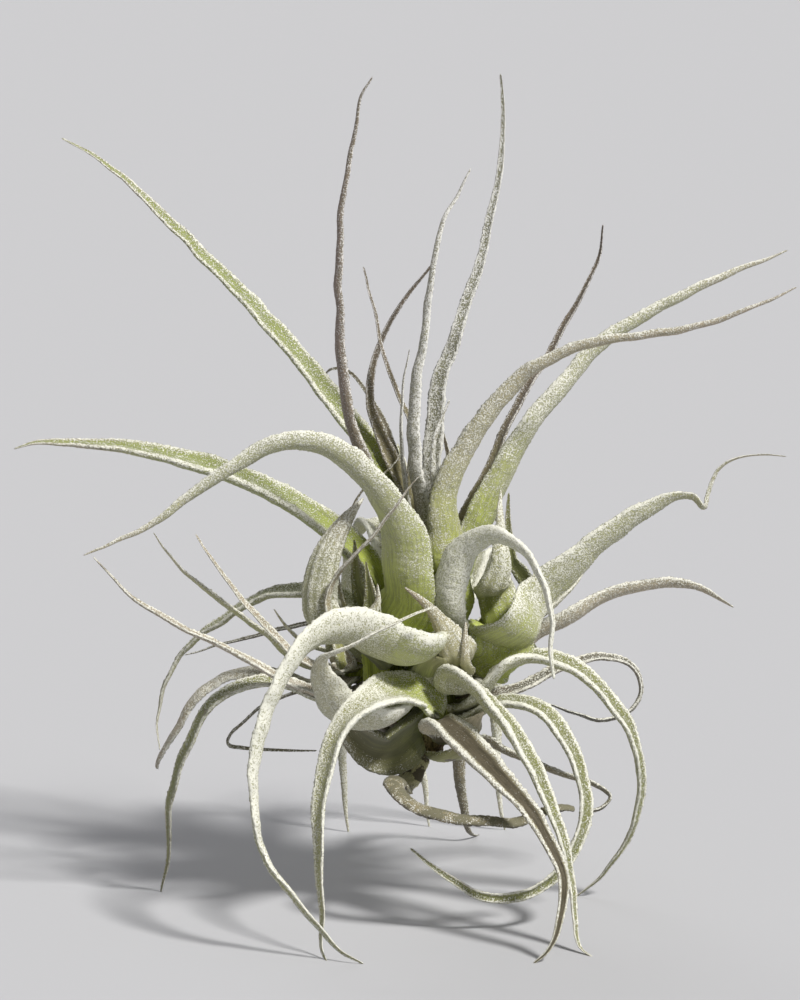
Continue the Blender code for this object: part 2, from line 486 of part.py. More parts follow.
def make_stem(plant):
    """The stem as a turned profile, with its side shoots joined on."""
    mesh = bpy.data.meshes.new("stem")
    outline = bmesh.new()
    corners = [outline.verts.new((r * MM, 0, h * MM)) for r, h in STEM_PROFILE]
    for above, below in zip(corners, corners[1:]):
        outline.edges.new((above, below))
    outline.to_mesh(mesh)
    outline.free()
    stem = bpy.data.objects.new("stem", mesh)
    plant.objects.link(stem)
    turn = stem.modifiers.new("turned", "SCREW")
    turn.steps = STEM_SIDES
    turn.render_steps = STEM_SIDES
    turn.use_merge_vertices = True
    turn.merge_threshold = STEM_MERGE
    shoots = bpy.data.collections.new("shoots")
    bpy.context.scene.collection.children.link(shoots)
    for number, (start, end) in enumerate(SHOOTS):
        start, end = np.array(start) * MM, np.array(end) * MM
        axis = end - start
        length = float(np.linalg.norm(axis))
        cone = bmesh.new()
        bmesh.ops.create_cone(cone, cap_ends=True, segments=SHOOT_SIDES, radius1=SHOOT_RADIUS * MM,
                              radius2=SHOOT_RADIUS * SHOOT_TAPER * MM, depth=length)
        shoot_mesh = bpy.data.meshes.new(f"shoot_{number}")
        cone.to_mesh(shoot_mesh)
        cone.free()
        shoot = bpy.data.objects.new(f"shoot_{number}", shoot_mesh)
        shoots.objects.link(shoot)
        shoot.location = (start + end) / 2
        shoot.rotation_mode = "XYZ"
        shoot.rotation_euler = (0, math.acos(axis[2] / length), math.atan2(axis[1], axis[0]))
        shoot.hide_render = True
        shoot.display_type = "WIRE"
        join = stem.modifiers.new(f"joined_{number}", "BOOLEAN")
        join.operation = "UNION"
        join.object = shoot
    stem.data.materials.append(make_material("stem", STEM_COLOUR, STEM_ROUGHNESS))
    return stem


def mesh_in_mm(obj):
    """An object's evaluated corners and faces, in millimetres."""
    bpy.context.view_layer.update()
    evaluated = obj.evaluated_get(bpy.context.evaluated_depsgraph_get())
    mesh = evaluated.to_mesh()
    corners = np.array([tuple(v.co) for v in mesh.vertices]) / MM
    faces = [tuple(p.vertices) for p in mesh.polygons]
    evaluated.to_mesh_clear()
    return corners, faces


def make_leaf(plant, leaf, shift):
    corners, faces, _ = leaf_skin(leaf)
    shape = bmesh.new()
    verts = [shape.verts.new((corner + shift) * MM) for corner in corners]
    for corner_numbers in faces:
        shape.faces.new([verts[k] for k in corner_numbers])
    bmesh.ops.recalc_face_normals(shape, faces=shape.faces)
    mesh = bpy.data.meshes.new(leaf.name)
    shape.to_mesh(mesh)
    shape.free()
    mesh.shade_smooth()
    obj = bpy.data.objects.new(leaf.name, mesh)
    plant.objects.link(obj)
    colour, roughness = KINDS[leaf.kind]
    mesh.materials.append(make_material(leaf.name, colour, roughness))


def main():
    clear_scene()
    plant = bpy.data.collections.new("air_plant")
    bpy.context.scene.collection.children.link(plant)
    stem = make_stem(plant)
    for leaf in LEAVES:
        leaf.points = stations(leaf)
    make_room(LEAVES, mesh_in_mm(stem))
    for leaf in LEAVES:
        if leaf.rests:
            bed_down(leaf)
    everything = np.vstack([leaf_skin(leaf)[0] for leaf in LEAVES])
    low, high = everything.min(axis=0), everything.max(axis=0)
    shift = -np.array([(low[0] + high[0]) / 2, (low[1] + high[1]) / 2, low[2]])
    stem.location = shift * MM
    for obj in bpy.data.collections["shoots"].objects:
        obj.location = [place + move * MM for place, move in zip(obj.location, shift)]
    for leaf in LEAVES:
        make_leaf(plant, leaf, shift)


main()
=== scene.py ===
"""Air plant: a clump of silver-scaled leaves on one short stem, resting on its drooping leaves.

Lengths are metres unless a name or a comment says millimetres. +Z is up and +Y is the plant's
back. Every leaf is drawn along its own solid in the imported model.
"""

import math

import bmesh
import bpy
import numpy as np
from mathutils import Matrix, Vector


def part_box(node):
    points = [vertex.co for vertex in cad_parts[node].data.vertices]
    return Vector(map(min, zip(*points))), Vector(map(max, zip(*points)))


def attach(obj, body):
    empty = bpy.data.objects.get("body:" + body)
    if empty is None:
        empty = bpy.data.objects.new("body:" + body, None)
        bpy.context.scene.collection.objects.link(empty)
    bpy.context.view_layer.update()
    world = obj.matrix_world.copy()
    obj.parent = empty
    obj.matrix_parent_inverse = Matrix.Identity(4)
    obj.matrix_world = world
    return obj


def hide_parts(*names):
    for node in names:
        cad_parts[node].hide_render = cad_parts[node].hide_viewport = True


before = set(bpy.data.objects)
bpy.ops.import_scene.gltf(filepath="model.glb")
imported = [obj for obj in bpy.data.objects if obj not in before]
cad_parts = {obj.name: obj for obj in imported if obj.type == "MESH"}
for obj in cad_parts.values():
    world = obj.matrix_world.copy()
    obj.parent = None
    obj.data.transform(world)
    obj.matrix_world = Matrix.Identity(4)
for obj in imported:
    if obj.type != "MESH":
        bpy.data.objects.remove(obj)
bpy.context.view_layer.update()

# ---------------------------------------------------------------------------------------------
# The stem. A short woody stalk, branched low down for the two pups, and ringed by the scars and
# torn fibres of the leaves it has shed. It carries every leaf.
# ---------------------------------------------------------------------------------------------

MM = 0.001


class Shade:
    """A value, colour or vector in a material's node tree. Sums on values add Math nodes."""

    def __init__(self, tree, socket=None):
        self.tree = tree
        self.socket = socket

    def node(self, kind, settings=(), inputs=(), output=0):
        """Adds a node: its settings first, then the values or links of its sockets."""
        made = self.tree.nodes.new(kind)
        for name, value in dict(settings).items():
            setattr(made, name, value)
        for key, value in dict(inputs).items():
            if isinstance(value, Shade):
                self.tree.links.new(value.socket, made.inputs[key])
            else:
                made.inputs[key].default_value = value
        return Shade(self.tree, made.outputs[output])

    def math(self, operation, *values):
        return self.node("ShaderNodeMath", {"operation": operation}, enumerate(values))

    def __add__(self, other):
        return self.math("ADD", self, other)

    def __sub__(self, other):
        return self.math("SUBTRACT", self, other)

    def __rsub__(self, other):
        return self.math("SUBTRACT", other, self)

    def __mul__(self, other):
        return self.math("MULTIPLY", self, other)

    __radd__ = __add__
    __rmul__ = __mul__

    def band(self, low, high):
        """0 where the value is under low, 1 where it is over high, and smooth between them."""
        return self.node("ShaderNodeMapRange", {"interpolation_type": "SMOOTHSTEP"},
                         {"Value": self, "From Min": low, "From Max": high})

    def mix(self, first, second):
        """first where the value is 0 and second where it is 1."""
        colours = [c if isinstance(c, Shade) else (*c, 1) for c in (first, second)]
        return self.node("ShaderNodeMix", {"data_type": "RGBA"},
                         {0: self, 6: colours[0], 7: colours[1]}, 2)

    def noise(self, size, detail=2.0, rough=0.5, stretch=(1, 1, 1)):
        """Noise over a vector, in lumps of about this size, spread about 0.5."""
        scaled = self.node("ShaderNodeVectorMath", {"operation": "MULTIPLY"},
                           {0: self, 1: [1 / (size * s) for s in stretch]})
        return self.node("ShaderNodeTexNoise", inputs={"Vector": scaled, "Scale": 1.0,
                                                       "Detail": detail, "Roughness": rough})

    def bump(self, depth):
        return self.node("ShaderNodeBump", inputs={"Height": self, "Distance": depth})


def new_finish(name, **constants):
    """A material, the Shade that its nodes start from, and a way to link into its shader."""
    material = bpy.data.materials.new(name)
    material.use_nodes = True
    shader = material.node_tree.nodes["Principled BSDF"]
    for socket, value in constants.items():
        shader.inputs[socket.replace("_", " ")].default_value = value

    def feed(socket, shade):
        material.node_tree.links.new(shade.socket, shader.inputs[socket])

    return material, Shade(material.node_tree), feed


BARK_DARK = (0.055, 0.038, 0.02)
BARK_PALE = (0.26, 0.19, 0.10)
HEART_GREEN = (0.25, 0.28, 0.06)
HEART_DARK = (0.085, 0.095, 0.022)
GREEN_FROM = 27 * MM
GREEN_FULL = 35 * MM
FIBRE_SIZE = 0.35 * MM
PATCH_SIZE = 2.5 * MM
GREEN_DRIFT = 10 * MM
BARK_RELIEF = 0.2 * MM


def stem_finish():
    """Brown fibrous bark at the foot, and green round the top, where leaf bases wrap it."""
    material, start, feed = new_finish("stem_bark", Specular_IOR_Level=0.2)
    place = start.node("ShaderNodeTexCoord", output=3)
    height = place.node("ShaderNodeSeparateXYZ", inputs={0: place}, output=2)
    fibres = place.noise(FIBRE_SIZE, 4, 0.6, (1, 1, 6))
    patches = place.noise(PATCH_SIZE, 3)
    bark = fibres.band(0.35, 0.7).mix(BARK_DARK, BARK_PALE)
    green = fibres.band(0.3, 0.65).mix(HEART_DARK, HEART_GREEN)
    rise = (height + (patches - 0.5) * GREEN_DRIFT).band(GREEN_FROM, GREEN_FULL)
    feed("Base Color", rise.mix(bark, green))
    feed("Roughness", 0.75 + fibres * 0.2)
    feed("Normal", (fibres + patches).bump(BARK_RELIEF))
    return material


def finish_piece(piece, node):
    """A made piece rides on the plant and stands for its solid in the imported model."""
    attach(piece, "root")
    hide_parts(node)


STEM_GRID = 0.3 * MM
SCAR_SPACING = 1.5 * MM
SCAR_RELIEF = 0.14 * MM
BARK_GRAIN = 0.05 * MM
HEART_HEIGHTS = (28, 35, 50, 58)
HEART_SWELL = 1.9 * MM
HEART_RIBS = 9


def make_stem():
    """The stem's own solid with its corners softened, scarred low down and swollen at the heart."""
    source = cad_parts["stem"]
    shape = bmesh.new()
    shape.from_mesh(source.data)
    bmesh.ops.remove_doubles(shape, verts=shape.verts, dist=0.001 * MM)
    mesh = bpy.data.meshes.new("stem_bark")
    shape.to_mesh(mesh)
    shape.free()
    stem = bpy.data.objects.new("stem_bark", mesh)
    bpy.context.scene.collection.objects.link(stem)
    remesh = stem.modifiers.new("even", "REMESH")
    remesh.mode = "VOXEL"
    remesh.voxel_size = STEM_GRID
    soften = stem.modifiers.new("soften", "SMOOTH")
    soften.iterations = 12
    bpy.context.view_layer.update()
    graph = bpy.context.evaluated_depsgraph_get()
    even = bpy.data.meshes.new_from_object(stem.evaluated_get(graph))
    stem.modifiers.clear()
    stem.data = even
    chance = np.random.default_rng(7)
    places = np.array([v.co for v in even.vertices])
    normals = np.array([v.normal for v in even.vertices])
    turn = np.arctan2(places[:, 1], places[:, 0])
    scars = np.sin(places[:, 2] / SCAR_SPACING * math.tau + turn)
    height = places[:, 2] / MM
    wrapped = np.interp(height, HEART_HEIGHTS, (0, 1, 1, 0))
    bases = HEART_SWELL * wrapped * (1 + 0.22 * np.sin(HEART_RIBS * turn + height / 4))
    grain = chance.normal(0, BARK_GRAIN, len(places))
    moves = SCAR_RELIEF * scars * (1 - wrapped) + bases + grain
    even.vertices.foreach_set("co", (places + normals * moves[:, None]).ravel())
    even.materials.clear()
    even.materials.append(stem_finish())
    even.shade_smooth()
    finish_piece(stem, "stem")


make_stem()

# ---------------------------------------------------------------------------------------------
# Old sheaths. The first leaves the plant grew, short and broad, still clasping the foot of the
# stem. Each is a thick gutter of leaf flesh, partly withered, furred with silver scales.
# ---------------------------------------------------------------------------------------------

POINT_WIDTH = 0.32 * MM
BLUNT_REACH = 1.2 * MM


def leaf_rings(node):
    """The rings of corners of a leaf's solid, from its base to its point, and the point."""
    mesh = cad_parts[node].data
    every = np.array([v.co for v in mesh.vertices])
    corners, same = np.unique(np.round(every, 7), axis=0, return_inverse=True)
    same = same.reshape(-1)
    beside = [set() for _ in corners]
    for edge in mesh.edges:
        a, b = same[edge.vertices[0]], same[edge.vertices[1]]
        if a != b:
            beside[a].add(b)
            beside[b].add(a)

    def layers(start):
        found, seen = [[start]], {start}
        while found[-1]:
            found.append(sorted({n for k in found[-1] for n in beside[k]} - seen))
            seen |= set(found[-1])
        return found[:-1]

    from_each = [layers(start) for start in range(len(corners))]
    rings = min(from_each, key=lambda found: max(len(ring) for ring in found))
    return [corners[ring] for ring in rings[:0:-1]], corners[rings[0][0]]


def unit(vectors):
    return vectors / np.linalg.norm(vectors, axis=-1, keepdims=True)


def leaf_measures(node):
    """Each ring's middle, way across, way its channel opens, width, depth and thickness."""
    rings, point = leaf_rings(node)
    middles = np.array([ring.mean(axis=0) for ring in rings] + [point])
    headings = unit(np.gradient(middles, axis=0))
    rows = []
    for ring, heading in zip(rings, headings):
        spans = np.linalg.norm(ring[:, None] - ring[None, :], axis=2)
        a, b = np.unravel_index(spans.argmax(), spans.shape)
        rim_middle = (ring[a] + ring[b]) / 2
        across = unit(ring[b] - ring[a])
        opening = rim_middle - np.delete(ring, (a, b), axis=0).mean(axis=0)
        opening = opening - heading * (opening @ heading)
        opening = unit(opening - across * (opening @ across))
        across = np.cross(heading, opening)
        local = ring - rim_middle
        inner = np.abs(local @ across) < 0.2 * spans.max()
        heights = (local @ opening)[inner]
        thickness = heights.max() - heights.min()
        depth = -heights.min() - thickness / 2
        rows.append((rim_middle - opening * depth, across, opening, spans.max(), depth, thickness))
    middle, across, opening, width, depth, thickness = (np.array(column) for column in zip(*rows))
    usual = np.median(thickness / width)
    thin = thickness < 0.5 * usual * width
    thickness[thin] = usual * width[thin]
    reach = np.linalg.norm(point - rings[-1].mean(axis=0))
    end_width = width[-1] * 0.75 if reach < BLUNT_REACH else min(POINT_WIDTH, width[-1] * 0.7)
    share = end_width / width[-1]
    return (np.vstack([middle, point]), np.vstack([across, across[-1:]]),
            np.vstack([opening, opening[-1:]]), np.append(width, end_width),
            np.append(depth, depth[-1] * share), np.append(thickness, thickness[-1] * share))


def curve_through(knots, values, at):
    """Values at places along a smooth curve through the values at the knots."""
    slopes = np.gradient(values, knots, axis=0)
    i = np.clip(np.searchsorted(knots, at, side="right") - 1, 0, len(knots) - 2)
    gap = (knots[i + 1] - knots[i])[:, None]
    t = (at - knots[i])[:, None] / gap
    return ((2 * t**3 - 3 * t**2 + 1) * values[i] + (t**3 - 2 * t**2 + t) * gap * slopes[i]
            + (3 * t**2 - 2 * t**3) * values[i + 1] + (t**3 - t**2) * gap * slopes[i + 1])


def evened(values, spread):
    """Values along a leaf with their corners rounded off over this many stations."""
    reach = int(3 * spread)
    weights = np.exp(-0.5 * (np.arange(-reach, reach + 1) / spread) ** 2)
    padded = np.pad(values, reach, mode="reflect", reflect_type="odd")
    return np.convolve(padded, weights / weights.sum(), mode="valid")


def wander(along, size, chance):
    """A smooth random line along a leaf, between about -1 and 1, with waves of about this size."""
    total = np.zeros_like(along)
    for _ in range(5):
        wave = size * chance.uniform(0.6, 1.8)
        total += np.sin(along * math.tau / wave + chance.uniform(0, math.tau))
    return total / 3


def ramp(value, low, high):
    """0 where the value is under low, 1 where it is over high, and smooth between them."""
    share = np.clip((value - low) / (high - low), 0, 1)
    return share * share * (3 - 2 * share)


def turned_by(opens, share, side, face):
    """The roll along a leaf that opens its channel these ways at these shares of its length."""
    angles = []
    for wanted, way in opens:
        i = int(np.argmin(np.abs(share - wanted)))
        angles.append(math.atan2(np.dot(way, side[i]), np.dot(way, face[i])))
    return np.interp(share, [wanted for wanted, _ in opens], np.unwrap(angles))


STEM_AXIS = np.mean(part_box("stem"), axis=0)
STATION_LENGTH = 0.3 * MM
FEWEST_STATIONS = 24
SKIN_STEP = 0.34 * MM
STEPS_ACROSS = (8, 24)
# A base runs on into the stem, keeping this much of its own heading, and turning in less where it
# starts this near the stem's axis. A shifted base is back in line after the third length.
HEADING_KEPT = 0.35
NEAR_STEM = 3 * MM
SHIFT_REACH = 13 * MM
EVEN_OVER = 2.2 * MM
THINNEST = 0.02 * MM
CLASP_FULL = 3
TIP_REACH = 4 * MM
# Living leaves are never quite even: each of these is how much, and over what length.
SWELL, SWELL_OVER = 0.05, 7 * MM
SWAY, SWAY_OVER = 0.16, 12 * MM
NOD, NOD_OVER = 0.12, 9 * MM
ROLL, ROLL_OVER = math.radians(5), 22 * MM
LUMPS, LUMPS_OVER = 0.10, 5 * MM
# Its scales stand a little proud, most of all at its margins, and less where it is narrow.
ROUGH, ROUGH_EDGE, ROUGH_LIT = 0.03, 0.05, 0.02
ROUGH_FULL_WIDTH, ROUGH_LEAST = 2.2 * MM, 0.35
EDGE_FROM = 0.72
ROLL_FROM_BASE = 15 * MM
WIDE_SKIN = 1.45
MARGIN_ROUND = 8
POINT_REACH = 0.3 * MM
RAGGED_ROWS = (1.0, 0.6, 0.3)
# The way to the key lamp. Scales are painted thickest and palest on the sides that face it, as
# painted light, and the sides turned away are painted greener and smoother, as painted shade.
KEY_LAMP_WAY = np.array([0.50, -0.44, 0.75])
PAINTED_LIGHT_RAMP = (-0.45, 0.75)


def grow_leaf(node, finish, seed, clasp=0.0, clasp_to=14, opens=None, fill=0.25, ribs=0,
              rib_depth=0.04, rim=0.4, lean=1.0, deeper=2.5, slim=1.0, start=0.0, torn=0.0,
              heel=0.8, shift=(0, 0, 0), straight=0.0, on_stem=True):
    """One leaf, drawn along its solid as a thick gutter with rounded, scaly margins.

    Lengths are in millimetres. clasp is the width of its base, where that is wider than the
    solid's, and clasp_to how far along it narrows again. opens turns the channel, fill makes it
    shallower, and rim is how much the leaf thins towards its margins. It has this many ribs, of
    rib_depth. lean is how much it wavers and slim how wide it is for its solid. deeper starts it
    further into the heart of the plant, start further out, and shift moves its base. The base
    rounds off over heel, and torn is how ragged that end is, where it has split from the stem.
    The first straight of its length is straight. on_stem is off for a leaf that isn't turned in
    to the main stem.
    """
    chance = np.random.default_rng(1000 + seed)
    middle, across, opening, width, depth, thickness = leaf_measures(node)
    inwards = unit(middle[0] - middle[1])
    if on_stem:
        to_axis = (STEM_AXIS - middle[0]) * (1, 1, 0)
        pull = min(1, np.linalg.norm(to_axis) / NEAR_STEM)
        inwards = unit(inwards * HEADING_KEPT + unit(to_axis) * pull)
    width = width * slim
    columns = (middle, across, opening, width, depth, thickness)
    middle, across, opening, width, depth, thickness = (
        np.concatenate([column[:1], column]) for column in columns)
    middle[0] += inwards * deeper * MM
    knots = np.concatenate([[0], np.cumsum(np.linalg.norm(np.diff(middle, axis=0), axis=1))])
    count = max(FEWEST_STATIONS, round(knots[-1] / STATION_LENGTH))
    at = np.linspace(start * MM, knots[-1], count)
    spine = curve_through(knots, middle, at)
    spine += np.array(shift) * MM * (1 - ramp(at, 0, SHIFT_REACH))[:, None]
    if straight:
        reached = int(np.searchsorted(at, straight * MM))
        share = np.clip((at - at[0]) / (at[reached] - at[0]), 0, 1)[:, None]
        chord = spine[0] + (spine[reached] - spine[0]) * share
        spine = chord + (spine - chord) * ramp(share, 0.55, 1.0)
    heading = unit(np.gradient(spine, axis=0))
    side = curve_through(knots, across, at)
    side = unit(side - heading * (side * heading).sum(axis=1, keepdims=True))
    face = np.cross(side, heading)
    smooth = EVEN_OVER / STATION_LENGTH
    width, depth, thickness = (np.maximum(evened(np.interp(at, knots, v), smooth), THINNEST)
                               for v in (width, depth, thickness))
    if opens:
        spine = spine + face * depth[:, None] / 2
        roll = evened(turned_by(opens, at / at[-1], side, face), smooth)[:, None]
        side, face = (side * np.cos(roll) - face * np.sin(roll),
                      face * np.cos(roll) + side * np.sin(roll))
        spine = spine - face * depth[:, None] / 2
    if clasp:
        clasping = 1 - ramp(at, (start + CLASP_FULL) * MM, clasp_to * MM)
        wider = np.maximum(clasp * MM - width, 0) * clasping
        depth = depth * (1 + wider / width)
        thickness = thickness * (1 + 0.5 * wider / width)
        width = width + wider
    rounded = np.sqrt(1 - (1 - np.clip((at - at[0]) / (heel * MM), 0.02, 1)) ** 2)
    width, depth, thickness = width * rounded, depth * rounded * (1 - fill), thickness * rounded
    tip = ramp(at, knots[-1] - TIP_REACH, knots[-1])
    width = width * (1 + SWELL * wander(at, SWELL_OVER, chance) * (1 - tip))
    sway = ramp(at, 0, SWAY_OVER) * lean * MM
    spine = spine + side * (SWAY * wander(at, SWAY_OVER, chance) * sway)[:, None]
    spine = spine + face * (NOD * wander(at, NOD_OVER, chance) * sway)[:, None]
    roll = ROLL * wander(at, ROLL_OVER, chance) * ramp(at, 0, ROLL_FROM_BASE) * lean
    side, face = (side * np.cos(roll)[:, None] + face * np.sin(roll)[:, None],
                  face * np.cos(roll)[:, None] - side * np.sin(roll)[:, None])

    half = int(np.clip(round(width.max() * WIDE_SKIN / SKIN_STEP), *STEPS_ACROSS))
    places = np.sin(np.linspace(-math.pi / 2, math.pi / 2, half + 1))
    place = np.concatenate([places, places[-2:0:-1]])
    layer = np.concatenate([-np.ones(half + 1), np.ones(half - 1)])
    fold = 2 * np.arctan2(2 * depth, width)[:, None]
    radius = width[:, None] / 2 / np.sin(fold)
    angle = fold * place
    margin = np.abs(place) ** MARGIN_ROUND
    half_thickness = thickness[:, None] / 2 * (1 - rim * place**2) * np.sqrt(1 - margin)
    uneven = np.stack([wander(at, LUMPS_OVER, chance) for _ in range(3)]).mean(axis=0)
    lumps = 1 + LUMPS * uneven[:, None]
    offset = layer * half_thickness * lumps
    ridges = np.cos(place * math.pi * ribs) * (1 - margin) * (width / width.max())[:, None]
    if ribs:
        offset = offset + layer * rib_depth * MM * ridges
    sideways = (radius - offset) * np.sin(angle)
    upwards = radius * (1 - np.cos(angle)) + offset * np.cos(angle)
    skin = spine[:, None] + side[:, None] * sideways[..., None] + face[:, None] * upwards[..., None]
    flat = np.sqrt(1 - margin)
    out_side = -layer * np.sin(angle) * flat + np.sign(place) * np.cos(angle) * margin
    out_face = layer * np.cos(angle) * flat + np.abs(np.sin(angle)) * margin
    outward = unit(side[:, None] * out_side[..., None] + face[:, None] * out_face[..., None])
    edge = ramp(np.abs(place), EDGE_FROM, 1.0)[None, :] * np.ones_like(angle)
    # How far each point faces the key lamp. The finish paints those sides paler, as painted light,
    # and their scales stand a little prouder.
    painted_lamp_side = ramp(outward @ KEY_LAMP_WAY, *PAINTED_LIGHT_RAMP)
    scatter = chance.normal(0, 1, angle.shape)
    rough = scatter * (ROUGH + ROUGH_EDGE * edge + ROUGH_LIT * painted_lamp_side) * MM
    rough = rough * np.clip(width[:, None] / ROUGH_FULL_WIDTH, ROUGH_LEAST, 1)
    skin = skin + outward * rough[..., None]
    rags = chance.uniform(-1, 1, len(place)) * torn * MM
    for row, share in enumerate(RAGGED_ROWS):
        skin[row] = skin[row] + heading[row] * (rags * share)[:, None]

    size = len(place)
    end = spine[-1] + heading[-1] * POINT_REACH
    verts = np.vstack([skin.reshape(-1, 3), skin[0].mean(axis=0), end])
    ring = np.arange(size)
    after = np.roll(ring, -1)
    starts = np.arange(count - 1)[:, None] * size
    ahead = starts + size
    quads = np.stack([starts + ring, starts + after, ahead + after, ahead + ring], axis=-1)
    foot, point = count * size, count * size + 1
    last = (count - 1) * size
    faces = quads.reshape(-1, 4).tolist()
    faces += [(foot, b, a) for a, b in zip(ring.tolist(), after.tolist())]
    faces += [(point, last + a, last + b) for a, b in zip(ring.tolist(), after.tolist())]
    mesh = bpy.data.meshes.new(node + "_skin")
    mesh.from_pydata(verts.tolist(), [], faces)
    shape = bmesh.new()
    shape.from_mesh(mesh)
    if shape.calc_volume(signed=True) < 0:
        bmesh.ops.reverse_faces(shape, faces=shape.faces)
    shape.to_mesh(mesh)
    shape.free()
    mesh.shade_smooth()

    def mark(name, kind, values, ends):
        """A named value at each point of the skin, which the leaf's finish reads."""
        whole = np.concatenate([values.reshape(count * size, -1), ends])
        field = "vector" if kind == "FLOAT_VECTOR" else "value"
        points = mesh.attributes.new(name, kind, "POINT").data
        points.foreach_set(field, whole.ravel().astype(np.float32))

    along = np.repeat(at[:, None] / at[-1], size, axis=1)
    mark("along", "FLOAT", along, [[0], [1]])
    mark("reach", "FLOAT", along * knots[-1] / MM, [[0], [knots[-1] / MM]])
    mark("edge", "FLOAT", edge, [[0], [1]])
    # The share that faces the key lamp, which the finish uses to paint in light and shade.
    mark("painted_lamp_side", "FLOAT", painted_lamp_side, [[0], [0.5]])
    mark("groove", "FLOAT", ramp(-ridges, -0.2, 0.9) if ribs else 0 * edge, [[0], [0]])
    inside = np.where(layer > 0, 1 - ramp(np.abs(place), 0.55, 0.9), 0)
    mark("inside", "FLOAT", np.repeat(inside[None, :], count, axis=0), [[0], [0]])
    around = place * layer * width[:, None] / MM
    fibre = np.stack([along * knots[-1] / MM, around, np.full_like(along, 7.3 * seed)], axis=-1)
    mark("fibre", "FLOAT_VECTOR", fibre, [[0, 0, 0], [0, 0, 0]])
    leaf = bpy.data.objects.new(node + "_skin", mesh)
    bpy.context.scene.collection.objects.link(leaf)
    mesh.materials.append(finish)
    finish_piece(leaf, node)


SCALE_WHITE = (0.95, 0.95, 0.88)
VEIL_GREY = (0.58, 0.58, 0.38)
GROOVE = (0.46, 0.46, 0.38, 1)
FIBRE_WIDTH = 0.5
FIBRE_STRETCH = (9, 1, 1)
SCALE_GRAIN = 0.25 * MM
SCALE_TUFT = 1.1 * MM
COLOUR_DRIFT = 4.5 * MM
DEAD_PATCH = 3.2 * MM
SCALE_RELIEF = 0.09 * MM


def leaf_finish(name, flesh, base, end, channel, cover, veil=0.2, base_to=10, end_from=0.6,
                bare=0.16, withered=0.0, wither=(0.10, 0.075, 0.05), white=SCALE_WHITE):
    """Leaf flesh under a fur of silver scales.

    The flesh is base coloured for base_to millimetres and end coloured from end_from of its
    length. cover is how thickly the scales lie, veil how far they pale the flesh between them,
    withered the share that has died and browned, and bare how much of its fur the channel lacks.
    """
    material, start, feed = new_finish(name, Specular_IOR_Level=0.25, Sheen_Weight=0.15,
                                       Sheen_Roughness=0.6)
    place = start.node("ShaderNodeTexCoord", output=3)

    def marked(name, output=2):
        return start.node("ShaderNodeAttribute", {"attribute_name": name}, output=output)

    along, edge, inside, painted_lamp_side, groove = (
        marked(field) for field in ("along", "edge", "inside", "painted_lamp_side", "groove"))
    drift = place.noise(COLOUR_DRIFT, 2) - 0.5
    streak = marked("fibre", 1).noise(FIBRE_WIDTH, 3, 0.6, FIBRE_STRETCH)
    # The flesh, from its young base to its end, with its channel, fibres and grooves.
    young = 1 - (marked("reach") + drift * (base_to * 0.9)).band(base_to * 0.25, base_to * 1.5)
    body = (along + drift * 0.3).band(end_from, 1).mix(flesh, end)
    body = (inside * 0.85).mix(body, channel)
    body = young.mix(body, base)
    dim = body.node("ShaderNodeMix", {"data_type": "RGBA", "blend_type": "MULTIPLY"},
                    {0: 1.0, 6: body, 7: GROOVE}, 2)
    body = (streak.band(0.60, 0.36) * 0.75).mix(body, dim)
    body = (groove * 0.7).mix(body, dim)
    # Scales lie thickest at the margins and thin out over a young base. More are painted on the
    # side that faces the key lamp and fewer on the side turned away: painted light and painted
    # shade.
    wanted = cover + edge * 0.28 + (painted_lamp_side - 0.5) * 0.34 - inside * bare - groove * 0.3
    wanted = wanted - young * 0.36 + drift * 0.3
    if withered:
        dead_from = 0.72 - 0.4 * withered
        dead = place.noise(DEAD_PATCH, 3, 0.65).band(dead_from, dead_from + 0.06)
        body = dead.mix(body, wither)
        wanted = wanted - dead * 0.35
    grain = place.noise(SCALE_GRAIN, 2, 0.6)
    tuft = place.noise(SCALE_TUFT, 2) - 0.5
    scale = (grain + (wanted + tuft * 0.35 - 0.5) * 0.36).band(0.45, 0.62)
    # Scales too small to see one by one pale the flesh between the others, and pale it more on the
    # side that faces the key lamp, as a painted highlight.
    veiled = (veil + painted_lamp_side * 0.22) * (1 - young * 0.7) * (1 - inside * (0.4 + bare))
    pale = veiled.mix(body, VEIL_GREY)
    # The scales show most strongly on the side that faces the key lamp: painted light.
    shown = scale * (painted_lamp_side * 0.25 + 0.6) + (1 - painted_lamp_side) * 0.08 * (1 - inside * bare * 1.5)
    feed("Base Color", shown.mix(pale, white))
    feed("Roughness", 0.62 + scale * 0.3)
    feed("Normal", (scale + streak * 0.5).bump(SCALE_RELIEF))
    return material


# The lime of young leaf bases is partly their own green and partly a painted glow of light shining
# through the flesh.
LIME_AND_GLOW = (0.45, 0.53, 0.06)
SAGE = (0.36, 0.365, 0.12)
OLIVE = (0.17, 0.19, 0.035)
DEEP_OLIVE = (0.10, 0.095, 0.025)
CREAM = (0.66, 0.60, 0.42)
PINK_TAN = (0.46, 0.36, 0.27)
WITHERED = (0.075, 0.052, 0.03)

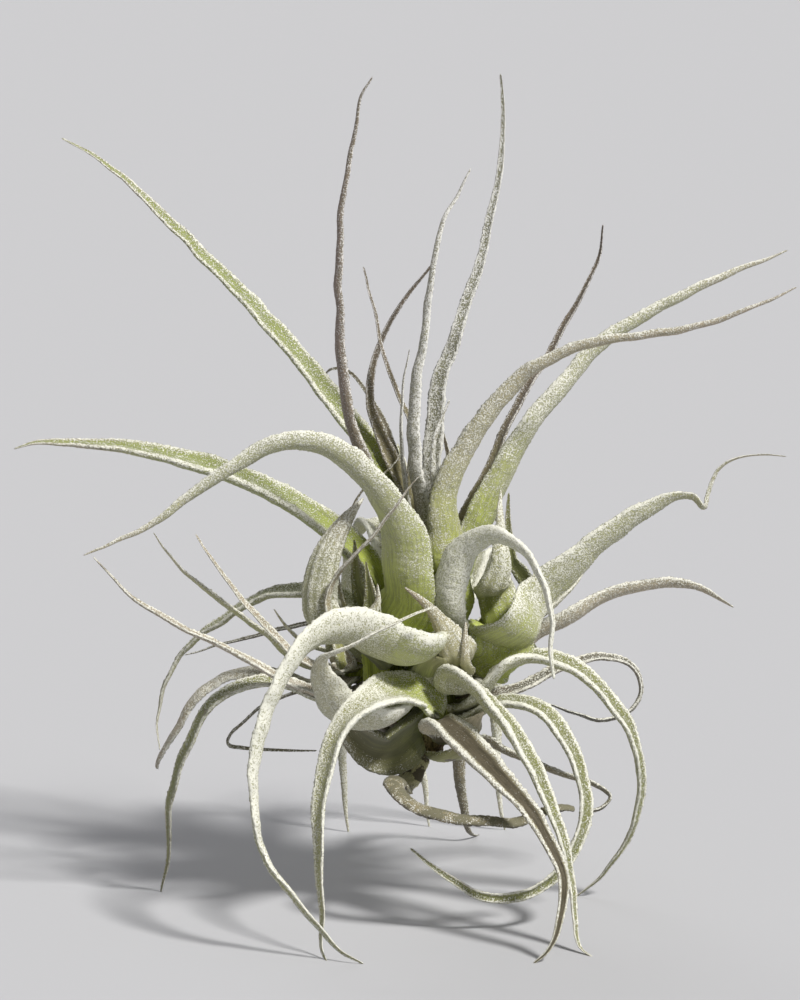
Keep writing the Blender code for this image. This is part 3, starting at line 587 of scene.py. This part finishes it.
sheath_olive = leaf_finish("sheath_olive", DEEP_OLIVE, OLIVE, PINK_TAN, DEEP_OLIVE, 0.16,
                           veil=0.05, end_from=0.5)
sheath_tan = leaf_finish("sheath_tan", (0.2, 0.15, 0.08), OLIVE, PINK_TAN, DEEP_OLIVE, 0.25,
                         withered=0.4)
sheath_dry = leaf_finish("sheath_dry", (0.22, 0.17, 0.09), DEEP_OLIVE, PINK_TAN, WITHERED, 0.25,
                         veil=0.1, withered=0.5)
grow_leaf("sheath_front_left", sheath_olive, 1, ribs=3, rib_depth=0.06, fill=0,
          clasp=10.5)
grow_leaf("sheath_front_right", sheath_tan, 2, ribs=4, rib_depth=0.06, fill=0)
grow_leaf("sheath_back_left", sheath_dry, 3, ribs=4, rib_depth=0.06, fill=0, clasp=7)
grow_leaf("sheath_back_right", sheath_dry, 4, ribs=4, rib_depth=0.06, fill=0, clasp=7)

# ---------------------------------------------------------------------------------------------
# Front leaves. Six arch over and down, some with their channels turned outwards, and two short
# bracts stand in the middle. Their thick, furred flesh clasps the stem with broad, greener bases.
# ---------------------------------------------------------------------------------------------

front_silver = leaf_finish("front_silver", SAGE, LIME_AND_GLOW, CREAM, SAGE, 0.66, veil=0.26, base_to=20)
front_green = leaf_finish("front_green", SAGE, SAGE, CREAM, OLIVE, 0.56, veil=0.15, base_to=5,
                          bare=0.3)
# This leaf's channel is painted near black and nearly bare of scales: a painted shadow in the
# channel.
painted_shadow_channel = leaf_finish("painted_shadow_channel", (0.42, 0.36, 0.24), SAGE, CREAM, (0.045, 0.036, 0.02),
                           0.40, veil=0.1, base_to=6, bare=0.6)
bent_cream = leaf_finish("bent_cream", (0.52, 0.49, 0.30), SAGE, PINK_TAN, SAGE, 0.66, veil=0.35,
                         end_from=0.35)
front_dry = leaf_finish("front_dry", (0.17, 0.12, 0.06), (0.56, 0.54, 0.30), WITHERED,
                        (0.05, 0.035, 0.02), 0.24, veil=0.03, base_to=13, withered=0.7,
                        wither=(0.05, 0.035, 0.02))
bract = leaf_finish("bract", (0.50, 0.45, 0.25), (0.36, 0.42, 0.10), (0.32, 0.22, 0.14), OLIVE,
                    0.40, veil=0.1, base_to=12)
grow_leaf("leaf_front_left_arch", front_silver, 11, clasp_to=28, start=4.5,
          deeper=1, heel=4, clasp=13, shift=(2.5, 6, -3),
          opens=[(0, (0.5, 0.6, 0.6)), (0.3, (-0.1, 0.8, 0.6)), (0.6, (-0.9, 0.3, 0.3)),
                 (1, (-0.9, -0.2, 0.3))])
grow_leaf("leaf_left_bent_tip", bent_cream, 12, slim=1.15, clasp_to=22, deeper=0.5,
          start=6, shift=(0, 3, 0), clasp=11,
          opens=[(0, (0.3, 0.9, 0.1)), (0.35, (0.4, 0.8, 0.3)), (0.55, (0, 0.3, 1)),
                 (1, (0, -0.4, 0.9))])
grow_leaf("leaf_front_left_low", front_silver, 13, clasp_to=20, slim=1.25, deeper=1,
          start=9.5, torn=1.4, clasp=8,
          opens=[(0, (-0.2, -0.4, 0.9)), (0.4, (-0.6, -0.5, 0.6)), (1, (-0.9, -0.3, 0.3))])
grow_leaf("leaf_front_right_channelled", front_green, 14, fill=0.1, rim=0.2,
          slim=1.12, deeper=4, start=1, clasp=12, shift=(-1, 0, 5),
          opens=[(0, (0.3, 0.3, 0.9)), (0.25, (0.7, 0.1, 0.7)), (0.5, (0.8, -0.55, 0.3)),
                 (1, (0.75, -0.65, 0.1))])
grow_leaf("leaf_front_dark_channel", painted_shadow_channel, 15, fill=0, rim=0.2, slim=1.05,
          deeper=1.5, heel=2.5, start=10.5, torn=1.6,
          opens=[(0, (0.2, 0, 1)), (0.2, (0.3, -0.7, 0.7)), (0.45, (0.5, -0.85, 0.2)),
                 (1, (0.6, -0.8, 0.1))])
grow_leaf("leaf_front_dry_hook", front_dry, 16, deeper=1)
grow_leaf("bract_dry_centre", bract, 17, ribs=4, fill=0.1, deeper=3, clasp=11,
          clasp_to=24, slim=1.2, lean=0.4, rib_depth=0.16)
grow_leaf("bud_tip_centre", bract, 18, clasp_to=16, ribs=3, rib_depth=0.07,
          deeper=3, slim=1.2, clasp=5, lean=0.3)

# ---------------------------------------------------------------------------------------------
# Left flank. Nine narrow leaves spread out level and droop at their ends. Most are old: tan and
# brown patches show through their scales, and the thinnest are dry.
# ---------------------------------------------------------------------------------------------

left_silver = leaf_finish("left_silver", SAGE, SAGE, PINK_TAN, OLIVE, 0.60, veil=0.3)
left_green = leaf_finish("left_green", SAGE, SAGE, CREAM, OLIVE, 0.48, veil=0.15)
left_tan = leaf_finish("left_tan", PINK_TAN, CREAM, (0.34, 0.24, 0.17), PINK_TAN, 0.52, veil=0.2)
left_dry = leaf_finish("left_dry", WITHERED, PINK_TAN, WITHERED, WITHERED, 0.34, veil=0.05,
                       withered=0.4)
left_banded = leaf_finish("left_banded", SAGE, SAGE, PINK_TAN, OLIVE, 0.5, veil=0.2, withered=0.28)
grow_leaf("leaf_left_tan", left_tan, 21, clasp=6, clasp_to=20, slim=1.3)
grow_leaf("leaf_left_green", left_green, 22, clasp=6, slim=1.3)
grow_leaf("leaf_left_slender", left_tan, 23, clasp=5, slim=1.3)
grow_leaf("leaf_left_short", left_silver, 24, clasp=5)
grow_leaf("leaf_back_left_arch", left_green, 25, clasp=6, slim=1.3)
grow_leaf("leaf_back_left_dry", left_dry, 26, clasp=5)
grow_leaf("leaf_left_blunt", left_tan, 27, clasp=6, slim=1.3)
grow_leaf("leaf_left_banded", left_banded, 28, clasp=6, rim=0.2, slim=1.3,
          opens=[(0, (0, -0.3, 0.9)), (0.5, (-0.4, -0.5, 0.8)), (1, (-0.7, -0.6, 0.2))])
grow_leaf("leaf_left_dry_v", left_dry, 29, clasp=5)

# ---------------------------------------------------------------------------------------------
# Right flank. One long leaf ends in a crooked thread, another curls over to a pale tip painted
# nearly white, partly as painted light, two channelled leaves arch down, and thin dry ones loop
# behind them. Most have green bases.
# ---------------------------------------------------------------------------------------------

right_lime = leaf_finish("right_lime", SAGE, LIME_AND_GLOW, PINK_TAN, SAGE, 0.56, veil=0.25, base_to=24)
# This leaf is pale silver, and its flesh and scales are painted paler still, nearly white at the
# tip, as painted light.
curl_pale_painted_lit = leaf_finish("curl_pale_painted_lit", (0.56, 0.58, 0.36), LIME_AND_GLOW, (0.90, 0.89, 0.82),
                         (0.4, 0.42, 0.16), 0.72, veil=0.35, base_to=11, end_from=0.35)
right_tan = leaf_finish("right_tan", PINK_TAN, SAGE, (0.36, 0.27, 0.19), PINK_TAN, 0.50)
right_silver = leaf_finish("right_silver", SAGE, LIME_AND_GLOW, CREAM, SAGE, 0.6, veil=0.3)
right_green = leaf_finish("right_green", SAGE, SAGE, CREAM, OLIVE, 0.56, veil=0.15, bare=0.3)
right_loop = leaf_finish("right_loop", (0.22, 0.16, 0.12), PINK_TAN, (0.05, 0.04, 0.035),
                         (0.05, 0.04, 0.035), 0.46, veil=0.1, end_from=0.35)
right_dry = leaf_finish("right_dry", (0.2, 0.16, 0.08), SAGE, WITHERED, WITHERED, 0.36, veil=0.05,
                        withered=0.4)
grow_leaf("leaf_right_crooked_tip", right_lime, 31, clasp_to=24, deeper=3,
          slim=1.15, fill=0.8, start=2, shift=(-3, 0, -2.5), straight=24, clasp=9.5, heel=3,
          opens=[(0, (-0.1, 1, 0.1)), (0.4, (-0.2, 0.8, 0.5)), (1, (-0.3, 0.5, 0.8))])
grow_leaf("leaf_curl_front_right", curl_pale_painted_lit, 32, clasp_to=16, slim=0.92, deeper=4,
          clasp=9.5,
          opens=[(0, (0.6, 0.7, 0.2)), (0.4, (0.3, 0.4, 0.85)), (0.7, (0.9, 0.1, 0.4)),
                 (1, (0.9, -0.3, 0.1))])
grow_leaf("leaf_right_low", right_tan, 33, clasp_to=20, slim=1.35, clasp=7,
          opens=[(0, (0, 0.7, 0.7)), (1, (0, 0.6, 0.8))])
grow_leaf("leaf_right_behind", right_silver, 34, clasp=7)
grow_leaf("leaf_right_arch_outer", right_green, 35, clasp=7, clasp_to=18, fill=0.05,
          rim=0.2, slim=1.25, deeper=4,
          opens=[(0, (0, 0.2, 1)), (0.35, (0.3, -0.25, 0.9)), (0.65, (0.85, -0.45, 0.3)),
                 (1, (0.75, -0.65, 0.1))])
grow_leaf("leaf_right_loop", right_loop, 36, clasp=5)
grow_leaf("leaf_right_arch_inner", right_green, 37, clasp=6.5, fill=0.05, rim=0.2,
          slim=1.25, deeper=4,
          opens=[(0, (0, 0.1, 1)), (0.35, (0.3, -0.3, 0.9)), (0.65, (0.85, -0.45, 0.3)),
                 (1, (0.75, -0.65, 0.1))])
grow_leaf("leaf_right_dry", right_dry, 38, clasp=5)

# ---------------------------------------------------------------------------------------------
# Left pup. A young side shoot on its own short branch of the stem: one broad ribbed blade, two
# thin strips beside it, and three pointed green leaves still folded together in its middle.
# ---------------------------------------------------------------------------------------------

pup_ribbed = leaf_finish("pup_ribbed", (0.42, 0.42, 0.24), OLIVE, PINK_TAN, OLIVE, 0.56, veil=0.15,
                         base_to=6)
pup_mauve = leaf_finish("pup_mauve", (0.42, 0.34, 0.28), SAGE, (0.36, 0.27, 0.23), PINK_TAN, 0.52)
pup_green = leaf_finish("pup_green", (0.22, 0.25, 0.05), LIME_AND_GLOW, (0.42, 0.36, 0.18), OLIVE, 0.26,
                        veil=0.05)
pup_strip = leaf_finish("pup_strip", (0.16, 0.11, 0.06), SAGE, WITHERED, WITHERED, 0.3, veil=0.05)
grow_leaf("pup_left_blade", pup_ribbed, 41, fill=0, slim=0.85, on_stem=False,
          ribs=6, rib_depth=0.22)
grow_leaf("pup_left_slender", pup_mauve, 42, clasp=3, on_stem=False)
grow_leaf("pup_left_dry_strip", pup_strip, 43, clasp=3, on_stem=False)
grow_leaf("pup_left_bud_front", pup_green, 44, ribs=3, rib_depth=0.08, clasp=5,
          on_stem=False, deeper=7)
grow_leaf("pup_left_bud_right", pup_ribbed, 45, ribs=3, rib_depth=0.07, clasp=4.5,
          on_stem=False)
grow_leaf("pup_left_bud_back", pup_green, 46, ribs=3, rib_depth=0.08, clasp=5.5,
          on_stem=False, deeper=7)

# ---------------------------------------------------------------------------------------------
# Right pup. A younger side shoot on the stem's other branch: only one silver blade and, folded
# behind it, a green bud.
# ---------------------------------------------------------------------------------------------

pup_right = leaf_finish("pup_right", SAGE, LIME_AND_GLOW, CREAM, OLIVE, 0.58, veil=0.2, base_to=9)
grow_leaf("pup_right_blade", pup_right, 51, ribs=3, rib_depth=0.08, on_stem=False,
          deeper=3, clasp=7.5, shift=(-3, 0, -1))
grow_leaf("pup_right_bud", pup_green, 52, ribs=2, rib_depth=0.06, on_stem=False,
          deeper=6, clasp=7, shift=(-3.5, 0, -2))

# ---------------------------------------------------------------------------------------------
# Crown. The youngest and longest leaves, which sweep up and outwards from the heart of the main
# rosette. Thick and smooth at the base, they taper to threads, and the slenderest are bronze.
# ---------------------------------------------------------------------------------------------

crown_smooth = leaf_finish("crown_smooth", (0.37, 0.38, 0.17), LIME_AND_GLOW, PINK_TAN, SAGE, 0.50,
                           veil=0.26, base_to=28, end_from=0.7)
crown_pink = leaf_finish("crown_pink", (0.38, 0.34, 0.17), LIME_AND_GLOW, (0.44, 0.32, 0.26), SAGE, 0.46,
                         veil=0.2, base_to=26, end_from=0.2)
crown_silver = leaf_finish("crown_silver", (0.31, 0.29, 0.23), SAGE, (0.36, 0.31, 0.27),
                           (0.2, 0.2, 0.11), 0.64, veil=0.2, base_to=12, white=(0.95, 0.95, 0.93))
crown_green = leaf_finish("crown_green", (0.34, 0.38, 0.09), LIME_AND_GLOW, PINK_TAN, (0.25, 0.31, 0.045),
                          0.40, veil=0.12, base_to=26)
crown_bronze = leaf_finish("crown_bronze", (0.21, 0.14, 0.12), (0.27, 0.25, 0.12),
                           (0.14, 0.085, 0.075), (0.13, 0.09, 0.06), 0.36, veil=0.04, base_to=30,
                           white=(0.92, 0.9, 0.88))
crown_tan = leaf_finish("crown_tan", PINK_TAN, SAGE, (0.36, 0.26, 0.2), PINK_TAN, 0.5)
crown_dry = leaf_finish("crown_dry", WITHERED, (0.16, 0.13, 0.07), (0.06, 0.05, 0.045), WITHERED,
                        0.22, veil=0.05)
grow_leaf("leaf_high_left", crown_green, 61, clasp=5.5)
grow_leaf("leaf_upright_left", crown_bronze, 62, clasp=4.5)
grow_leaf("leaf_upright_slender", crown_bronze, 63, clasp=3.5)
grow_leaf("leaf_upright_bowed", crown_bronze, 64, clasp=4)
grow_leaf("leaf_upright_centre", crown_silver, 65, clasp=4.5, clasp_to=20, slim=1.1)
grow_leaf("leaf_upright_short", crown_silver, 66, clasp=3.5)
grow_leaf("leaf_upright_right", crown_silver, 67, clasp=4.5, clasp_to=20, fill=0.5,
          slim=1.1)
grow_leaf("leaf_tip_right", crown_silver, 68, clasp=3)
grow_leaf("leaf_tip_pink", crown_tan, 69, clasp=3)
grow_leaf("leaf_sweep_right", crown_pink, 70, clasp_to=26, slim=0.82, clasp=9)
grow_leaf("leaf_high_right", crown_smooth, 71, slim=0.9, clasp=9, clasp_to=26,
          opens=[(0, (-0.5, 0.6, 0.6)), (1, (-0.4, 0.6, 0.6))])
grow_leaf("leaf_back_right_slender", crown_bronze, 72, clasp=4)
grow_leaf("leaf_level_left", crown_green, 73, fill=0.1, rim=0.2, clasp=6.5,
          slim=1.18)
grow_leaf("leaf_arching_left", crown_smooth, 74, clasp_to=34, slim=0.88, clasp=11)
grow_leaf("leaf_back_thread", crown_dry, 75, clasp=3)

# ---------------------------------------------------------------------------------------------
# Back. Seven leaves of the same furred flesh close the rosette: three arch down to the surface,
# three stand up, and one low one is dry. They clasp the stem behind the front ones.
# ---------------------------------------------------------------------------------------------

back_silver = leaf_finish("back_silver", SAGE, LIME_AND_GLOW, CREAM, SAGE, 0.6, veil=0.28, base_to=12)
back_dry = leaf_finish("back_dry", (0.2, 0.15, 0.08), SAGE, WITHERED, WITHERED, 0.34, veil=0.05,
                       withered=0.45)
grow_leaf("leaf_back_arch_left", back_silver, 81, clasp=8)
grow_leaf("leaf_back_arch_right", back_silver, 82, clasp=8)
grow_leaf("leaf_back_arch_centre", back_silver, 83, clasp=8)
grow_leaf("leaf_back_low", back_dry, 84, clasp=6)
grow_leaf("leaf_back_upper_centre", back_silver, 85, clasp=7)
grow_leaf("leaf_back_upper_right", back_silver, 86, clasp=7.5)
grow_leaf("leaf_back_upper_left", back_silver, 87, clasp=7.5)

# ---------------------------------------------------------------------------------------------
# The floor, a plain pale one that the plant stands on with the tips of its lowest leaves, then
# the studio lights, a soft key from the front right and a weak fill from behind, and the camera.
# ---------------------------------------------------------------------------------------------

FLOOR_RADIUS = 4.0
FLOOR_PALE = (0.517, 0.524, 0.557, 1)
floor_mesh = bpy.data.meshes.new("floor")
floor_shape = bmesh.new()
bmesh.ops.create_circle(floor_shape, cap_ends=True, segments=96, radius=FLOOR_RADIUS)
floor_shape.to_mesh(floor_mesh)
floor_shape.free()
floor = bpy.data.objects.new("floor", floor_mesh)
bpy.context.scene.collection.objects.link(floor)
floor_material, _, _ = new_finish("pale_floor", Base_Color=FLOOR_PALE, Roughness=0.9)
floor_mesh.materials.append(floor_material)

ROOM_COLOUR = (0.92, 0.915, 0.92, 1)
ROOM_STRENGTH = 0.26
world = bpy.data.worlds.new("studio")
world.use_nodes = True
room = world.node_tree.nodes["Background"]
room.inputs["Color"].default_value = ROOM_COLOUR
room.inputs["Strength"].default_value = ROOM_STRENGTH
bpy.context.scene.world = world
bpy.context.scene.view_settings.view_transform = "Standard"


def add_sun(name, azimuth, elevation, strength, spread, colour=(1.0, 1.0, 1.0)):
    """A broad lamp so far off that it lights the floor evenly. Its angles are in degrees."""
    lamp = bpy.data.lights.new(name, "SUN")
    lamp.energy = strength
    lamp.angle = math.radians(spread)
    lamp.color = colour
    sun = bpy.data.objects.new(name, lamp)
    bpy.context.scene.collection.objects.link(sun)
    sun.rotation_euler = (math.radians(90) - math.radians(elevation), 0, math.radians(azimuth))


add_sun("key", azimuth=46, elevation=50, strength=3.45, spread=9, colour=(1.0, 0.975, 0.92))
add_sun("back_fill", azimuth=205, elevation=38, strength=0.55, spread=40)

VIEW_ELEVATION = math.radians(12)
VIEW_DISTANCE = 1.1
VIEW_HEIGHT = 0.176
VIEW_MIDDLE = 0.070
FILM_HEIGHT = 36
camera_data = bpy.data.cameras.new("camera")
camera = bpy.data.objects.new("camera", camera_data)
bpy.context.scene.collection.objects.link(camera)
camera_data.sensor_fit = "VERTICAL"
camera_data.sensor_height = FILM_HEIGHT
camera_data.lens = FILM_HEIGHT * VIEW_DISTANCE / VIEW_HEIGHT
camera_data.clip_end = 20
aim = np.array([0.0, 0.0, VIEW_MIDDLE / math.cos(VIEW_ELEVATION)])
backwards = np.array([0, -math.cos(VIEW_ELEVATION), math.sin(VIEW_ELEVATION)])
camera.location = aim + VIEW_DISTANCE * backwards
camera.rotation_euler = (math.radians(90) - VIEW_ELEVATION, 0, 0)
bpy.context.scene.camera = camera
